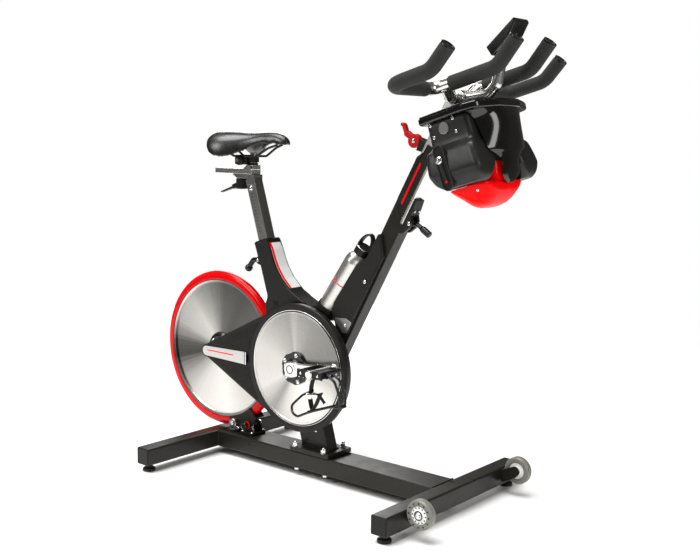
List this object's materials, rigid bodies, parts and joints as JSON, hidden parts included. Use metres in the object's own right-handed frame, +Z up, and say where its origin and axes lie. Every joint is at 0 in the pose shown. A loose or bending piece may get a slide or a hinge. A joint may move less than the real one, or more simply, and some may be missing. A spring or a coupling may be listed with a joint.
{
  "type": "indoor exercise bike",
  "caption": "Indoor cycling bike with a belt-driven flywheel, floor base with transport wheels, sliding saddle, multi-grip handlebar, console, storage pod and bottle.",
  "frame": {"origin": "on the floor, under the middle of the bounding box", "axes": "+X forward from the saddle to the handlebar, +Y to the rider's left, +Z up"},
  "size_m": [1.3264, 0.662, 1.2775],
  "materials": {
    "black_paint": "satin black powder coat",
    "satin_plastic": "satin black moulded plastic",
    "gloss_plastic": "gloss black moulded plastic",
    "pod_plastic": "fine-grained dark grey plastic",
    "red_gloss": "gloss red",
    "red_paint": "gloss red lacquer",
    "red_lever": "satin dark red plastic",
    "brushed_aluminium": "turned, brushed",
    "post_steel": "brushed dark grey",
    "silver_tube": "satin silver",
    "chrome": "polished",
    "grip_foam": "matt foam rubber",
    "saddle_vinyl": "smooth black vinyl",
    "wheel_rubber": "translucent grey polyurethane",
    "belt_rubber": "matt"
  },
  "bodies": {
    "frame": {"main_beam": "black_paint", "rear_crossbar": "black_paint", "front_crossbar": "black_paint", "foot_rear_right": "satin_plastic", "foot_rear_left": "satin_plastic", "foot_front_right": "satin_plastic", "foot_front_left": "satin_plastic", "wheel_bracket_right": "black_paint", "wheel_bracket_left": "black_paint", "pedestal": "black_paint", "frame_hub": "black_paint", "stay_right": "black_paint", "stay_left": "black_paint", "seat_tube": "satin_plastic", "head_tube": "black_paint", "bottle_shroud": "satin_plastic", "pin_housing": "satin_plastic", "belt_cover": "satin_plastic", "belt_cover_back": "satin_plastic", "drive_belt": "belt_rubber", "brake_bracket": "satin_plastic"},
    "roller_right": {"transport_wheel_right": "wheel_rubber"},
    "roller_left": {"transport_wheel_left": "wheel_rubber"},
    "bottle_unit": {"bottle": "brushed_aluminium"},
    "post_lever_unit": {"post_lever": "satin_plastic"},
    "crank": {"crank_disc": "brushed_aluminium", "crank_spindle": "chrome", "crank_spider": "satin_plastic", "crank_arm_right": "post_steel", "crank_arm_left": "post_steel"},
    "pedal_right_unit": {"pedal_right": "satin_plastic", "toe_cage_right": "satin_plastic"},
    "pedal_left_unit": {"pedal_left": "satin_plastic", "toe_cage_left": "satin_plastic"},
    "flywheel": {"flywheel_disc": "brushed_aluminium", "flywheel_rim": "red_paint", "flywheel_hub": "satin_plastic", "flywheel_axle": "chrome"},
    "brake": {"brake_caliper": "satin_plastic"},
    "seat_post_unit": {"seat_post": "post_steel"},
    "saddle_lock": {"saddle_lock_lever": "satin_plastic"},
    "saddle_unit": {"saddle_slider": "post_steel", "saddle_clamp": "satin_plastic", "saddle": "saddle_vinyl"},
    "seat_latch": {"seat_post_lever": "satin_plastic"},
    "handlebar_unit": {"handlebar_post": "brushed_aluminium", "post_cover": "black_paint", "handlebar": "silver_tube", "grip_outer_right": "grip_foam", "grip_inner_right": "grip_foam", "grip_outer_left": "grip_foam", "grip_inner_left": "grip_foam", "console": "satin_plastic", "shifter_bracket": "satin_plastic", "pod_tray": "gloss_plastic", "side_pod_right": "pod_plastic", "side_pod_left": "pod_plastic", "pod_cowl": "gloss_plastic", "pod_bowl": "red_gloss"},
    "shifter": {"shifter_lever": "red_lever"}
  },
  "joints": [
    {"name": "flywheel_turn", "type": "hinge", "parent": "frame", "child": "flywheel", "pos_m": [-0.42029, 0, 0.3235], "axis": [0, 1, 0], "continuous": true},
    {"name": "crank_turn", "type": "hinge", "parent": "frame", "child": "crank", "pos_m": [-0.05509, 0, 0.323], "axis": [0, 1, 0], "continuous": true},
    {"name": "pedal_right_turn", "type": "hinge", "parent": "crank", "child": "pedal_right_unit", "pos_m": [0.11233, -0.15, 0.35252], "axis": [0, 1, 0], "continuous": true},
    {"name": "pedal_left_turn", "type": "hinge", "parent": "crank", "child": "pedal_left_unit", "pos_m": [-0.22251, 0.15, 0.29348], "axis": [0, 1, 0], "continuous": true},
    {"name": "seat_height", "type": "slide", "parent": "frame", "child": "seat_post_unit", "axis": [-0.2999, 0, 0.954], "range_m": [-0.09, 0.06]},
    {"name": "saddle_fore_aft", "type": "slide", "parent": "seat_post_unit", "child": "saddle_unit", "axis": [1, 0, 0], "range_m": [-0.03, 0.03]},
    {"name": "saddle_lock_turn", "type": "hinge", "parent": "seat_post_unit", "child": "saddle_lock", "pos_m": [-0.33509, 0, 0.842], "axis": [0, 0, 1], "range_deg": [-25, 25]},
    {"name": "seat_latch_turn", "type": "hinge", "parent": "frame", "child": "seat_latch", "pos_m": [-0.25159, 0, 0.616], "axis": [0, 1, 0], "range_deg": [-20, 30]},
    {"name": "handlebar_height", "type": "slide", "parent": "frame", "child": "handlebar_unit", "axis": [0.4761, 0, 0.8794], "range_m": [0, 0.1]},
    {"name": "post_lever_turn", "type": "hinge", "parent": "frame", "child": "post_lever_unit", "pos_m": [0.305, 0, 0.76169], "axis": [0, 1, 0], "range_deg": [-20, 0]},
    {"name": "shifter_turn", "type": "hinge", "parent": "handlebar_unit", "child": "shifter", "pos_m": [0.30998, 0, 0.97948], "axis": [0, 1, 0], "range_deg": [-35, 35]},
    {"name": "brake_swing", "type": "hinge", "parent": "frame", "child": "brake", "pos_m": [-0.28809, 0, 0.102], "axis": [0, 1, 0], "range_deg": [-2, 2]},
    {"name": "roller_right_turn", "type": "hinge", "parent": "frame", "child": "roller_right", "pos_m": [0.51841, -0.2325, 0.0725], "axis": [0, 1, 0], "continuous": true},
    {"name": "roller_left_turn", "type": "hinge", "parent": "frame", "child": "roller_left", "pos_m": [0.51841, 0.2325, 0.0725], "axis": [0, 1, 0], "continuous": true},
    {"name": "bottle_lift", "type": "slide", "parent": "frame", "child": "bottle_unit", "axis": [0.565, 0, 0.8251], "range_m": [0, 0.12]}
  ],
  "couplings": [
    {"joint": "crank_turn", "follows": "flywheel_turn", "ratio": 0.10909},
    {"joint": "brake_swing", "follows": "shifter_turn", "ratio": 0.057143}
  ]
}
